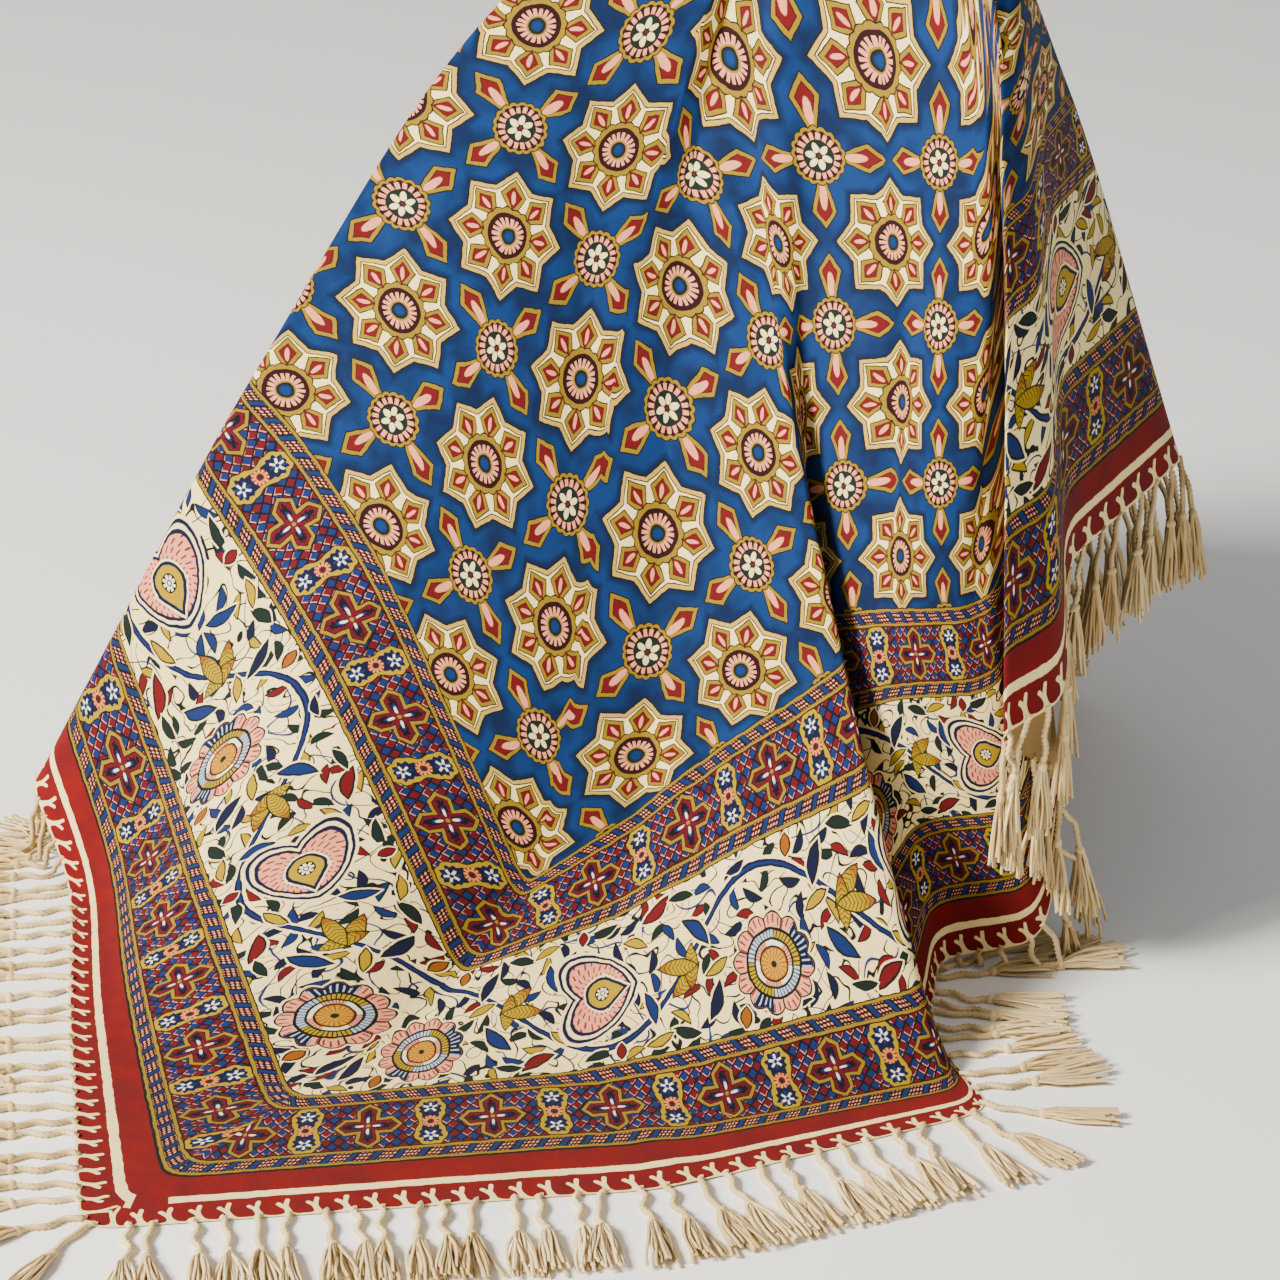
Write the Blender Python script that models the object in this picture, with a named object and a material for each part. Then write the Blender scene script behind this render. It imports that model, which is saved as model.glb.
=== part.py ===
"""Block-printed cotton cloth, 1.5 m square, draped in folds with its front-left corner on the floor.

The cloth is worked out from fold lines. Each line runs on the cloth from its centre to the hem and
crosses two inner squares on the way; the table says where those three crossings sit in space.
"""

import math

import bmesh
import bpy
import numpy as np
from mathutils import Vector
from mathutils.bvhtree import BVHTree

SIDE = 1.50
THICK = 0.0016
MIDDLE_INSET = 0.27
TOP_INSET = 0.55
PEAK_X, PEAK_Y, PEAK_Z = 11.0, -29.0, 67.0
LINE_STOPS = (0.0, 0.27, 0.64, 1.0)
ROUNDING = 0.028
PLAIN_ROUNDING = 0.08
PANEL_ROUNDING = 0.07
PANEL_REACH = (-0.46, -0.38, -0.15, -0.07)
SETTLE = 0.4
PRESS, PRESS_BELOW = 0.7, 10.0
FLOOR_SHIFT = (0.0410, 0.1291)

# One row for each fold line at the front. "at" is metres along the bottom hem from the front-left
# corner, and minus metres up the left side; the places are centimetres right, back and up.
FOLD_COLUMNS = ("name", "hem at", "hem x", "hem y", "hem z", "middle at", "mid x", "mid y", "mid z",
                "top at", "top x", "top y", "top z")
FOLDS = (
    ("left ridge", -0.50, -37, -16, 5.5, -0.62, -22.8, -18, 31.4, -0.72, -7.5, -20, 54),
    ("left bend", -0.40, -33.7, -21.9, 0.8, -0.56, -18.7, -21, 27.8, -0.69, -5.5, -21, 52),
    ("left panel", -0.25, -32, -37, 0.8, -0.48, -14.6, -24.5, 22.4, -0.65, -3.5, -22, 49.5),
    ("corner", 0.0, -28.5, -60, 0, 0.27, -6.5, -31, 5.5, 0.55, 0.5, -23, 42.5),
    ("soft trough", 0.235, -6, -57, 0, 0.35, 0, -29, 9, 0.60, 3, -23, 45),
    ("floor swell", 0.315, 1.5, -56, 0, 0.395, 3, -29.5, 12, 0.61, 4, -24, 45.5),
    ("front ridge", 0.515, 19, -48, 0, 0.53, 11.5, -34, 20.5, 0.65, 6.5, -27, 47),
    ("hidden valley", 0.60, 16, -40, 0.5, 0.64, 9, -27, 20, 0.68, 9, -28, 47.5),
    ("recess", 0.70, 17, -32, 1.5, 0.72, 13.5, -35, 24, 0.725, 12.5, -32, 48.5),
    ("recess edge", 0.775, 23, -33, 3, 0.83, 19, -37, 25, 0.815, 17.5, -38, 50),
    ("lifted hem", 0.85, 24, -31, 12, 0.88, 21, -31, 33, 0.835, 17.5, -38, 55),
    ("second ridge", 0.925, 19, -38, 17.5, 0.95, 18, -41, 48, 0.87, 16.5, -40.5, 62.5),
    ("second edge", 0.995, 24, -35, 19, 0.985, 20, -39, 49, 0.885, 17.5, -40.5, 63),
    ("right crease", 1.015, 23, -29, 23.5, 1.00, 20.5, -36, 51, 0.90, 17.5, -40, 63),
    ("right ridge", 1.14, 32, -15, 25, 1.07, 23.5, -23, 49.5, 0.925, 17, -36.5, 63),
    ("right return", 1.30, 29, -2, 18, 1.14, 21, -12, 43, 0.94, 15, -31, 62.5),
    ("right corner", 1.50, 24, 12, 4, 1.23, 18, -4, 36, 0.95, 13.5, -24, 61),
)
# One row for each plain fold line behind: the hem place as above, and the way it hangs from the top.
PLAIN_COLUMNS = ("name", "hem at", "heading deg", "lean deg")
PLAIN_FOLDS = (
    ("right inner", 1.80, 74, 13),
    ("right fold", 2.10, 80, 40),
    ("right second inner", 2.50, 87, 13),
    ("back right corner", 3.00, 95, 35),
    ("back inner", 3.40, 103, 12),
    ("back fold", 3.76, 109, 43),
    ("back second inner", 4.12, 116, 12),
    ("back left corner", 4.50, 123, 35),
    ("left inner", 4.90, 129, 12),
    ("left fold", 5.15, 136, 38),
    ("left second inner", 5.33, 140, 15),
)
PLAIN_RIM = 10.0

AROUND = 112
ROWS = (0.07, 0.15, 0.22, 0.28, 0.35, 0.42, 0.49, 0.56, 0.63, 0.70, 0.77, 0.84, 0.90, 0.95, 1.0)

STRIP_GAP = 0.0014
STRIP_WIDTH = 0.005
STRAND_PITCH = 0.028
STRAND_CLEAR = 0.0025
STRAND_PULLS = (0.35, 0.8)
STRAND_LENGTH = 0.060
STRAND_HALF = 0.0013
CORNER_CLEAR = 0.010

COTTON = (0.78, 0.68, 0.50)


def clear_scene():
    for thing in list(bpy.data.objects):
        bpy.data.objects.remove(thing, do_unlink=True)


def material(name, colour):
    made = bpy.data.materials.new(name)
    made.use_nodes = True
    shader = made.node_tree.nodes["Principled BSDF"]
    shader.inputs["Base Color"].default_value = (*colour, 1.0)
    shader.inputs["Roughness"].default_value = 0.85
    return made


def on_square(inset, at):
    """The cloth point 'at' metres round the square line that lies 'inset' metres inside the hem."""
    at = at % (4 * SIDE)
    edge = int(at // SIDE)
    along = min(max(at - edge * SIDE, inset), SIDE - inset)
    return ((along, inset), (SIDE - inset, along), (SIDE - along, SIDE - inset), (inset, SIDE - along))[edge]


def plain_place(heading, lean, reach):
    """A point on a plain fold line hung from the rim, with what is left over lying on the floor."""
    slope = max(reach - PLAIN_RIM, 0.0)
    down = math.cos(math.radians(lean))
    most = PEAK_Z / down
    out = min(reach, PLAIN_RIM) + min(slope, most) * math.sin(math.radians(lean)) + max(slope - most, 0.0)
    a = math.radians(heading)
    return (PEAK_X + out * math.cos(a), PEAK_Y + out * math.sin(a), max(PEAK_Z - slope * down, 0.0))


def fold_lines():
    """Every fold line in order round the hem: the hem place, three cloth points and three places."""
    lines = []
    for row in FOLDS:
        cloth, places = [], []
        for first, inset in ((9, TOP_INSET), (5, MIDDLE_INSET), (1, 0.0)):
            cloth.append(on_square(inset, row[first]))
            places.append(row[first + 1:first + 4])
        lines.append((row[1], cloth, places))
    for _, at, heading, lean in PLAIN_FOLDS:
        cloth, places = [], []
        for inset in (TOP_INSET, MIDDLE_INSET, 0.0):
            edge = int(at // SIDE)
            shrink = (SIDE / 2 - inset) / (SIDE / 2)
            along = edge * SIDE + SIDE / 2 + (at - edge * SIDE - SIDE / 2) * shrink
            point = on_square(inset, along)
            reach = 100 * math.hypot(point[0] - SIDE / 2, point[1] - SIDE / 2)
            cloth.append(point)
            places.append(plain_place(heading, lean, reach))
        lines.append((at, cloth, places))
    return lines


def eased(stops, values, where):
    """A curve through the values that never overshoots them, level at the start and where it meets the floor."""
    stops = np.asarray(stops)
    width = np.diff(stops)
    rise = np.diff(values, axis=0) / width[:, None, None]
    slope = np.zeros_like(values)
    for k in range(1, len(stops) - 1):
        a, b = rise[k - 1], rise[k]
        slope[k] = np.where(a * b > 0, 2 * a * b / np.where(a + b == 0, 1, a + b), 0)
    fall, fall_above = rise[-1][:, 2], rise[-2][:, 2]
    on_floor = (values[-1][:, 2] < 1.0) & (fall < 0)
    slope[-2][:, 2] = np.where(on_floor, np.maximum(3 * fall, (fall + fall_above) / 2), slope[-2][:, 2])
    slope[0] = rise[0] * np.array([1.4, 1.4, 0.0])
    slope[-1] = rise[-1]
    slope[-1][:, 2] = np.where(on_floor, 0.0, rise[-1][:, 2])
    out = []
    for t in where:
        k = int(np.clip(np.searchsorted(stops, t) - 1, 0, len(width) - 1))
        x = (t - stops[k]) / width[k]
        out.append(values[k] * (1 + 2 * x) * (1 - x) ** 2 + slope[k] * width[k] * x * (1 - x) ** 2
                   + values[k + 1] * x * x * (3 - 2 * x) + slope[k + 1] * width[k] * x * x * (x - 1))
    return np.array(out)


def rounded(values, reach):
    """The ring of values with its corners rounded over 'reach' places to each side."""
    reach = max(1, round(reach))
    weights = np.hanning(2 * reach + 3)[1:-1]
    weights /= weights.sum()
    return sum(weights[j] * np.roll(values, reach - j) for j in range(2 * reach + 1))


class Drape:
    """The cloth's middle surface: cloth points and places on lines from the centre to the hem."""

    def __init__(self, rows):
        lines = fold_lines()
        at = np.array([line[0] for line in lines] + [lines[0][0] + 4 * SIDE])
        cloth = np.array([line[1] for line in lines] + [lines[0][1]])
        places = np.array([line[2] for line in lines] + [lines[0][2]], float)
        centre = np.full((len(at), 1, 2), SIDE / 2)
        peak = np.tile(np.array([PEAK_X, PEAK_Y, PEAK_Z]), (len(at), 1, 1))
        cloth = np.concatenate([centre, cloth], axis=1).transpose(1, 0, 2)
        places = np.concatenate([peak, places], axis=1).transpose(1, 0, 2)
        curves = eased(LINE_STOPS, places, rows)
        self.start = at[0]
        self.count = 1200
        self.step = 4 * SIDE / self.count
        fine = self.start + self.step * np.arange(self.count)
        self.points = np.empty((len(rows), self.count, 3))
        self.cloth = np.empty((len(rows), self.count, 2))
        plain = np.interp(fine, (FOLDS[-1][1] - 0.15, FOLDS[-1][1] + 0.15, FOLDS[0][1] + 4 * SIDE - 0.3,
                                 FOLDS[0][1] + 4 * SIDE), (0, 1, 1, 0))
        panel = np.interp(fine, PANEL_REACH, (0, 1, 1, 0))
        shares = ((ROUNDING, 1 - plain - panel), (PLAIN_ROUNDING, plain), (PANEL_ROUNDING, panel))
        for r, t in enumerate(rows):
            for axis in range(3):
                straight = np.interp(fine, at, curves[r][:, axis])
                self.points[r, :, axis] = sum(rounded(straight, reach / self.step) * share
                                              for reach, share in shares)
            k = int(np.clip(np.searchsorted(LINE_STOPS, t) - 1, 0, 2))
            part = (t - LINE_STOPS[k]) / (LINE_STOPS[k + 1] - LINE_STOPS[k])
            for axis in range(2):
                crossing = cloth[k][:, axis] * (1 - part) + cloth[k + 1][:, axis] * part
                self.cloth[r, :, axis] = np.interp(fine, at, crossing)
        height = self.points[:, :, 2]
        height = height - SETTLE - PRESS * np.clip(1 - height / PRESS_BELOW, 0, 1)
        self.points[:, :, 2] = np.maximum(height, 0.0)
        self.points /= 100.0
        self.points[:, :, 2] += THICK / 2
        self.points[:, :, 0] += FLOOR_SHIFT[0]
        self.points[:, :, 1] += FLOOR_SHIFT[1]
        self.peak = np.array([PEAK_X / 100 + FLOOR_SHIFT[0], PEAK_Y / 100 + FLOOR_SHIFT[1],
                              (PEAK_Z - SETTLE) / 100 + THICK / 2])

    def take(self, row, at):
        place = ((np.asarray(at, float) - self.start) / self.step) % self.count
        low = np.floor(place).astype(int)
        part = (place - low)[:, None]
        low = low % self.count
        return self.points[row][low] * (1 - part) + self.points[row][(low + 1) % self.count] * part


def stations():
    """Places round the hem for the solid's lines: each fold line, and more between them evenly."""
    marks = [line[0] for line in fold_lines()]
    marks.append(marks[0] + 4 * SIDE)
    gaps = np.diff(marks)
    shares = np.maximum(1, np.round(gaps / (4 * SIDE) * AROUND)).astype(int)
    shares = np.maximum(shares, np.where(gaps > 0.06, 3, 2))
    out = []
    for start, gap, share in zip(marks, gaps, shares):
        out += [start + gap * k / share for k in range(share)]
    return np.array(out)


def add_object(name, points, faces, paint):
    mesh = bpy.data.meshes.new(name)
    mesh.from_pydata([tuple(float(c) for c in p) for p in points], [], faces)
    shell = bmesh.new()
    shell.from_mesh(mesh)
    bmesh.ops.recalc_face_normals(shell, faces=shell.faces)
    shell.to_mesh(mesh)
    shell.free()
    thing = bpy.data.objects.new(name, mesh)
    bpy.context.collection.objects.link(thing)
    mesh.materials.append(paint)
    return thing


def surface_normals(grid, peak):
    around = np.roll(grid, -1, axis=1) - np.roll(grid, 1, axis=1)
    inner = np.concatenate([np.broadcast_to(peak, grid[:1].shape), grid[:-1]])
    outer = np.concatenate([grid[1:], grid[-1:]])
    normals = np.cross(outer - inner, around)
    return normals / np.linalg.norm(normals, axis=2)[:, :, None]


def cloth_body(drape, at):
    grid = np.array([drape.take(r, at) for r in range(len(ROWS))])
    normals = surface_normals(grid, drape.peak)
    count = len(at)
    points, faces = [], []
    for side in (1, -1):
        base = len(points)
        points.append(drape.peak + np.array([0, 0, side * THICK / 2]))
        shell = grid + normals * side * THICK / 2
        shell[:, :, 2] = np.maximum(shell[:, :, 2], 0.0)
        points += list(shell.reshape(-1, 3))

        def corner(r, i, base=base):
            return base + 1 + r * count + i % count

        for i in range(count):
            face = [base, corner(0, i), corner(0, i + 1)]
            faces.append(face if side > 0 else face[::-1])
            for r in range(len(ROWS) - 1):
                face = [corner(r, i), corner(r + 1, i), corner(r + 1, i + 1), corner(r, i + 1)]
                faces.append(face if side > 0 else face[::-1])
    lower = 1 + len(ROWS) * count
    last = (len(ROWS) - 1) * count
    for i in range(count):
        a, b = 1 + last + i, 1 + last + (i + 1) % count
        faces.append([a, a + lower, b + lower, b])
    return points, faces, grid


def strand_path(root, out, length):
    """A strand leaves the edge in the cloth's own direction, then hangs, or lies on the floor."""
    floor = STRAND_HALF
    path = [root]
    heading = out.copy()
    piece = length / 2
    for pull in STRAND_PULLS:
        heading = heading * (1 - pull) + np.array([0, 0, -1.0]) * pull
        heading /= np.linalg.norm(heading)
        end = path[-1] + heading * piece
        if end[2] < floor:
            flat = np.array([out[0], out[1], 0.0])
            flat /= max(np.linalg.norm(flat), 1e-6)
            drop = max(path[-1][2] - floor, 0.0)
            end = path[-1] + flat * math.sqrt(max(piece * piece - drop * drop, 0.0))
            end[2] = floor
        path.append(end)
    return path


def is_clear(path, near, taken):
    """True where the path keeps off the cloth and off the strands already placed."""
    for start, end in zip(path, path[1:]):
        for part in (0.25, 0.5, 0.75, 1.0):
            point = start + (end - start) * part
            if near.find_nearest(Vector(point))[3] < STRAND_CLEAR:
                return False
            if taken and np.min(np.linalg.norm(np.array(taken) - point, axis=1)) < 2 * STRAND_CLEAR:
                return False
    return True


def above_floor(out, edge):
    """Turn each outward direction up until a strip laid along it stays clear of the floor."""
    least = (STRAND_HALF - edge[:, 2]) / STRIP_WIDTH
    level = out[:, :2] + 1e-3 * edge[:, :2]
    level /= np.linalg.norm(level, axis=1)[:, None]
    least = np.clip(least, -0.9, 0.9)
    turned = np.column_stack([level * np.sqrt(1 - least ** 2)[:, None], least])
    return np.where((out[:, 2] < least)[:, None], turned, out)


def along_hem(row, marks, at):
    """Places on the solid's own hem, which runs straight between its stations."""
    wrapped = (at - marks[0]) % (4 * SIDE) + marks[0]
    all_marks = np.append(marks, marks[0] + 4 * SIDE)
    all_places = np.vstack([row, row[:1]])
    return np.column_stack([np.interp(wrapped, all_marks, all_places[:, axis]) for axis in range(3)])


def strip_stations(marks, first, last):
    """Places for the strip: the hem's stations, and the two sides of each strand between them."""
    inside = sorted((m % (4 * SIDE)) for m in marks)
    stops = [first] + [m for m in inside if first + 0.004 < m < last - 0.004] + [last]
    at, is_strand = [stops[0]], []
    for start, end in zip(stops, stops[1:]):
        count = int((end - start) / STRAND_PITCH + 0.5)
        for k in range(count):
            middle = start + (end - start) * (k + 0.5) / count
            at += [middle - STRAND_HALF, middle + STRAND_HALF]
            is_strand += [False, True]
        at.append(end)
        is_strand.append(False)
    return np.array(at), is_strand


def fringe_body(grid, marks, first, last, near, taken):
    """The strip beside one edge with its strands, as one closed body."""
    at, is_strand = strip_stations(marks, first, last)
    edge = along_hem(grid[-1], marks, at)
    inside = along_hem(grid[-2], marks, at)
    ahead = along_hem(grid[-1], marks, at + 0.003) - along_hem(grid[-1], marks, at - 0.003)
    ahead /= np.linalg.norm(ahead, axis=1)[:, None]
    out = edge - inside
    out -= ahead * np.sum(out * ahead, axis=1)[:, None]
    out /= np.linalg.norm(out, axis=1)[:, None]
    hanging = out.copy()
    out = above_floor(out, edge)
    gap = STRIP_GAP + THICK / 2 * np.sqrt(np.maximum(1 - np.sum(out * hanging, axis=1) ** 2, 0))
    normal = np.cross(out, ahead)
    normal /= np.linalg.norm(normal, axis=1)[:, None]
    points, faces = [], []
    count = len(at)
    half = STRAND_HALF
    for i in range(count):
        while gap[i] < 0.004 and near.find_nearest(Vector(edge[i] + out[i] * gap[i]))[3] < 0.0018:
            gap[i] += 0.0004
        for offset in (gap[i], gap[i] + STRIP_WIDTH):
            for side in (half, -half):
                p = edge[i] + out[i] * offset + normal[i] * side
                p[2] = max(p[2], 0.0)
                points.append(p)

    def corner(i, k):
        return 4 * i + k

    faces.append([corner(0, 0), corner(0, 2), corner(0, 3), corner(0, 1)])
    faces.append([corner(count - 1, 0), corner(count - 1, 1), corner(count - 1, 3), corner(count - 1, 2)])
    for i in range(count - 1):
        faces.append([corner(i, 0), corner(i + 1, 0), corner(i + 1, 2), corner(i, 2)])
        faces.append([corner(i, 1), corner(i, 3), corner(i + 1, 3), corner(i + 1, 1)])
        faces.append([corner(i, 0), corner(i, 1), corner(i + 1, 1), corner(i + 1, 0)])
        ring = [corner(i, 2), corner(i + 1, 2), corner(i + 1, 3), corner(i, 3)]
        path = []
        if is_strand[i]:
            root = (edge[i] + edge[i + 1]) / 2 + (out[i] + out[i + 1]) / 2 * (gap[i] + STRIP_WIDTH)
            root[2] = max(root[2], half)
            for share in (1.0, 0.7, 0.45):
                path = strand_path(root, (out[i] + out[i + 1]) / 2, STRAND_LENGTH * share)
                if is_clear(path, near, taken):
                    break
                path = []
        across = ahead[i]
        for k in range(1, len(path)):
            line = path[k] - path[k - 1]
            line /= np.linalg.norm(line)
            up = np.cross(line, across)
            up /= np.linalg.norm(up)
            if up @ normal[i] < 0:
                up = -up
            base = len(points)
            for a, b in ((-1, 1), (1, 1), (1, -1), (-1, -1)):
                p = path[k] + across * a * half + up * b * half
                p[2] = max(p[2], 0.0)
                points.append(p)
            new = [base, base + 1, base + 2, base + 3]
            for j in range(4):
                faces.append([ring[j], ring[(j + 1) % 4], new[(j + 1) % 4], new[j]])
            ring = new
        faces.append(ring)
        for start, end in zip(path, path[1:]):
            taken += [start + (end - start) * part for part in (0.25, 0.5, 0.75, 1.0)]
    return points, faces


def main():
    clear_scene()
    drape = Drape(ROWS)
    marks = stations()
    points, faces, grid = cloth_body(drape, marks)
    cloth = add_object("cloth", points, faces, material("printed cotton", COTTON))
    near = BVHTree.FromPolygons([Vector(p) for p in points], faces)
    names = ("front_fringe", "right_fringe", "back_fringe", "left_fringe")
    taken = []
    for k, name in enumerate(names):
        first, last = k * SIDE + CORNER_CLEAR, (k + 1) * SIDE - CORNER_CLEAR
        points, faces = fringe_body(grid, marks, first, last, near, taken)
        add_object(name, points, faces, material(name.replace("_", " "), COTTON))
    return cloth


main()
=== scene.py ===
import math
import random
import bpy
import numpy as np
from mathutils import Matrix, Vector


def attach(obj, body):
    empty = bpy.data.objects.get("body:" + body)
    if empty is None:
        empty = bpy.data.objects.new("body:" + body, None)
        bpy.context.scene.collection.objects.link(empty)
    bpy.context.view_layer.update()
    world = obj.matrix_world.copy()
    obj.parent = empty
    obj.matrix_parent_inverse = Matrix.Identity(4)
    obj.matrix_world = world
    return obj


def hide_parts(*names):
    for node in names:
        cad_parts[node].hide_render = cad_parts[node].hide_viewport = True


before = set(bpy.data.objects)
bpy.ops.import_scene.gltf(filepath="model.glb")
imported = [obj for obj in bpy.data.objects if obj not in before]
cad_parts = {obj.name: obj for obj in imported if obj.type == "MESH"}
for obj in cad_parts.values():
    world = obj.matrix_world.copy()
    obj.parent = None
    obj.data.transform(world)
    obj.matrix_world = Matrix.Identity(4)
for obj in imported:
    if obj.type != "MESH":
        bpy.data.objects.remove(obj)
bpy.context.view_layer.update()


# Camera, floor and lamps.
# The cloth is seen from 24 degrees above, straight at its front panel, on a plain white floor, in the
# soft light of one large lamp high at the front left and a weak one at the right.

LOOK_AT = Vector((0.0410, 0.1291, 0.062))
CAMERA_HEIGHT_DEG = 24.0
CAMERA_AWAY = 2.6
LENS_MM, SENSOR_MM = 114.95, 36.0
FLOOR_HALF = 6.0
SKY_STRENGTH = 0.36
LAMP_AIM = Vector((0.05, -0.1, 0.3))
LAMPS = (
    # name, place, watts, width, tint
    ("front left lamp", (-2.7, -1.7, 2.3), 430.0, 1.1, (1.0, 0.95, 0.85)),
    ("right lamp", (2.2, -1.4, 1.6), 7.0, 1.4, (1.0, 1.0, 1.0)),
)


def placed(name, data):
    """A new object in the scene that shows the data."""
    thing = bpy.data.objects.new(name, data)
    bpy.context.collection.objects.link(thing)
    return thing


camera_data = bpy.data.cameras.new("camera")
camera_data.lens = LENS_MM
camera_data.sensor_width = SENSOR_MM
camera = placed("camera", camera_data)
lean = math.radians(CAMERA_HEIGHT_DEG)
camera.location = LOOK_AT + CAMERA_AWAY * Vector((0.0, -math.cos(lean), math.sin(lean)))
camera.rotation_euler = (math.pi / 2 - lean, 0.0, 0.0)
bpy.context.scene.camera = camera

floor_corners = [(x * FLOOR_HALF, y * FLOOR_HALF, 0)
                 for x, y in ((-1, -1), (1, -1), (1, 1), (-1, 1))]
floor_mesh = bpy.data.meshes.new("floor")
floor_mesh.from_pydata(floor_corners, [], [(0, 1, 2, 3)])
floor = placed("floor", floor_mesh)
floor_paint = bpy.data.materials.new("white floor")
floor_paint.use_nodes = True
floor_shader = floor_paint.node_tree.nodes["Principled BSDF"]
floor_shader.inputs["Base Color"].default_value = (0.97, 0.97, 0.96, 1)
floor_shader.inputs["Roughness"].default_value = 0.9
floor_mesh.materials.append(floor_paint)

for name, place, watts, width, tint in LAMPS:
    lamp_data = bpy.data.lights.new(name, "AREA")
    lamp_data.energy = watts
    lamp_data.size = width
    lamp_data.color = tint
    lamp = placed(name, lamp_data)
    lamp.location = place
    lamp.rotation_euler = (LAMP_AIM - Vector(place)).to_track_quat("-Z", "Y").to_euler()

world = bpy.data.worlds.new("studio")
bpy.context.scene.world = world
world.use_nodes = True
sky = world.node_tree.nodes["Background"]
sky.inputs["Color"].default_value = (1, 1, 1, 1)
sky.inputs["Strength"].default_value = SKY_STRENGTH


# The cloth's drape.
# A square of cotton, 1.5 m a side, laid over a rounded top, so that it falls in folds to the floor at
# the front left and hangs clear of it at the right. Its hem is the woven edge itself, not sewn.

# In metres: the flat cloth's side and thickness, how far two lines lie inside the hem, how far the folds
# are rounded, and the shift that centres it on the floor. The stops are shares from top to hem.
SIDE = 1.50
THICK = 0.0016
MIDDLE_INSET = 0.27
TOP_INSET = 0.55
LINE_STOPS = (0.0, 0.27, 0.64, 1.0)
ROUNDING = 0.028
PLAIN_ROUNDING = 0.08
PANEL_ROUNDING = 0.07
PANEL_REACH = (-0.46, -0.38, -0.15, -0.07)
PLAIN_BLEND = 0.15
FLOOR_SHIFT = (0.0410, 0.1291)

# Places in centimetres: the peak, how far the cloth settles and is pressed near the floor, and the
# height under which it counts as lying. The top is spread a little wider than its folds.
PEAK_X, PEAK_Y, PEAK_Z = 11.0, -29.0, 67.0
SETTLE = 0.4
PRESS, PRESS_BELOW = 0.7, 10.0
LYING_BELOW = 1.0
TOP_SPREAD = 1.4

# One row for each fold line at the front. "at" is metres along the bottom hem from the front-left
# corner, and minus metres up the left side; the places are centimetres right, back and up.
FOLD_COLUMNS = ("name", "hem at", "hem x", "hem y", "hem z", "middle at", "middle x", "middle y",
                "middle z", "top at", "top x", "top y", "top z")
FOLDS = (
    ("left ridge", -0.50, -37, -16, 5.5, -0.62, -22.8, -18, 31.4, -0.72, -7.5, -20, 54),
    ("left bend", -0.40, -33.7, -21.9, 0.8, -0.56, -18.7, -21, 27.8, -0.69, -5.5, -21, 52),
    ("left panel", -0.25, -32, -37, 0.8, -0.48, -14.6, -24.5, 22.4, -0.65, -3.5, -22, 49.5),
    ("corner", 0.0, -28.5, -60, 0, 0.27, -6.5, -31, 5.5, 0.55, 0.5, -23, 42.5),
    ("soft trough", 0.235, -6, -57, 0, 0.35, 0, -29, 9, 0.60, 3, -23, 45),
    ("floor swell", 0.315, 1.5, -56, 0, 0.395, 3, -29.5, 12, 0.61, 4, -24, 45.5),
    ("front ridge", 0.515, 19, -48, 0, 0.53, 11.5, -34, 20.5, 0.65, 6.5, -27, 47),
    ("hidden valley", 0.60, 16, -40, 0.5, 0.64, 9, -27, 20, 0.68, 9, -28, 47.5),
    ("recess", 0.70, 17, -32, 1.5, 0.72, 13.5, -35, 24, 0.725, 12.5, -32, 48.5),
    ("recess edge", 0.775, 23, -33, 3, 0.83, 19, -37, 25, 0.815, 17.5, -38, 50),
    ("lifted hem", 0.85, 24, -31, 12, 0.88, 21, -31, 33, 0.835, 17.5, -38, 55),
    ("second ridge", 0.925, 19, -38, 17.5, 0.95, 18, -41, 48, 0.87, 16.5, -40.5, 62.5),
    ("second edge", 0.995, 24, -35, 19, 0.985, 20, -39, 49, 0.885, 17.5, -40.5, 63),
    ("right crease", 1.015, 23, -29, 23.5, 1.00, 20.5, -36, 51, 0.90, 17.5, -40, 63),
    ("right ridge", 1.14, 32, -15, 25, 1.07, 23.5, -23, 49.5, 0.925, 17, -36.5, 63),
    ("right return", 1.30, 29, -2, 18, 1.14, 21, -12, 43, 0.94, 15, -31, 62.5),
    ("right corner", 1.50, 24, 12, 4, 1.23, 18, -4, 36, 0.95, 13.5, -24, 61),
)
# One row for each plain fold line behind: the hem place as above, and the way it hangs from the top.
PLAIN_FOLDS = (
    # name, hem at, heading deg, lean deg
    ("right inner", 1.80, 74, 13),
    ("right fold", 2.10, 80, 40),
    ("right second inner", 2.50, 87, 13),
    ("back right corner", 3.00, 95, 35),
    ("back inner", 3.40, 103, 12),
    ("back fold", 3.76, 109, 43),
    ("back second inner", 4.12, 116, 12),
    ("back left corner", 4.50, 123, 35),
    ("left inner", 4.90, 129, 12),
    ("left fold", 5.15, 136, 38),
    ("left second inner", 5.33, 140, 15),
)
PLAIN_RIM = 10.0

# Points round each row of the sheet, its rows, and the share of the way where the first row lies.
AROUND = 1200
ROW_COUNT = 62
FIRST_ROW = 0.015


def on_square(inset, at):
    """The cloth point 'at' metres round the square line that lies 'inset' metres inside the hem."""
    at = at % (4 * SIDE)
    edge = int(at // SIDE)
    along = min(max(at - edge * SIDE, inset), SIDE - inset)
    sides = ((along, inset), (SIDE - inset, along),
             (SIDE - along, SIDE - inset), (inset, SIDE - along))
    return sides[edge]


def plain_place(heading, lean_deg, reach):
    """A point on a plain fold line hung from the rim, with what is left over lying on the floor."""
    tilt = math.radians(lean_deg)
    slope = max(reach - PLAIN_RIM, 0.0)
    down = math.cos(tilt)
    most = PEAK_Z / down
    out = min(reach, PLAIN_RIM) + min(slope, most) * math.sin(tilt) + max(slope - most, 0.0)
    a = math.radians(heading)
    return (PEAK_X + out * math.cos(a), PEAK_Y + out * math.sin(a), max(PEAK_Z - slope * down, 0.0))


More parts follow.
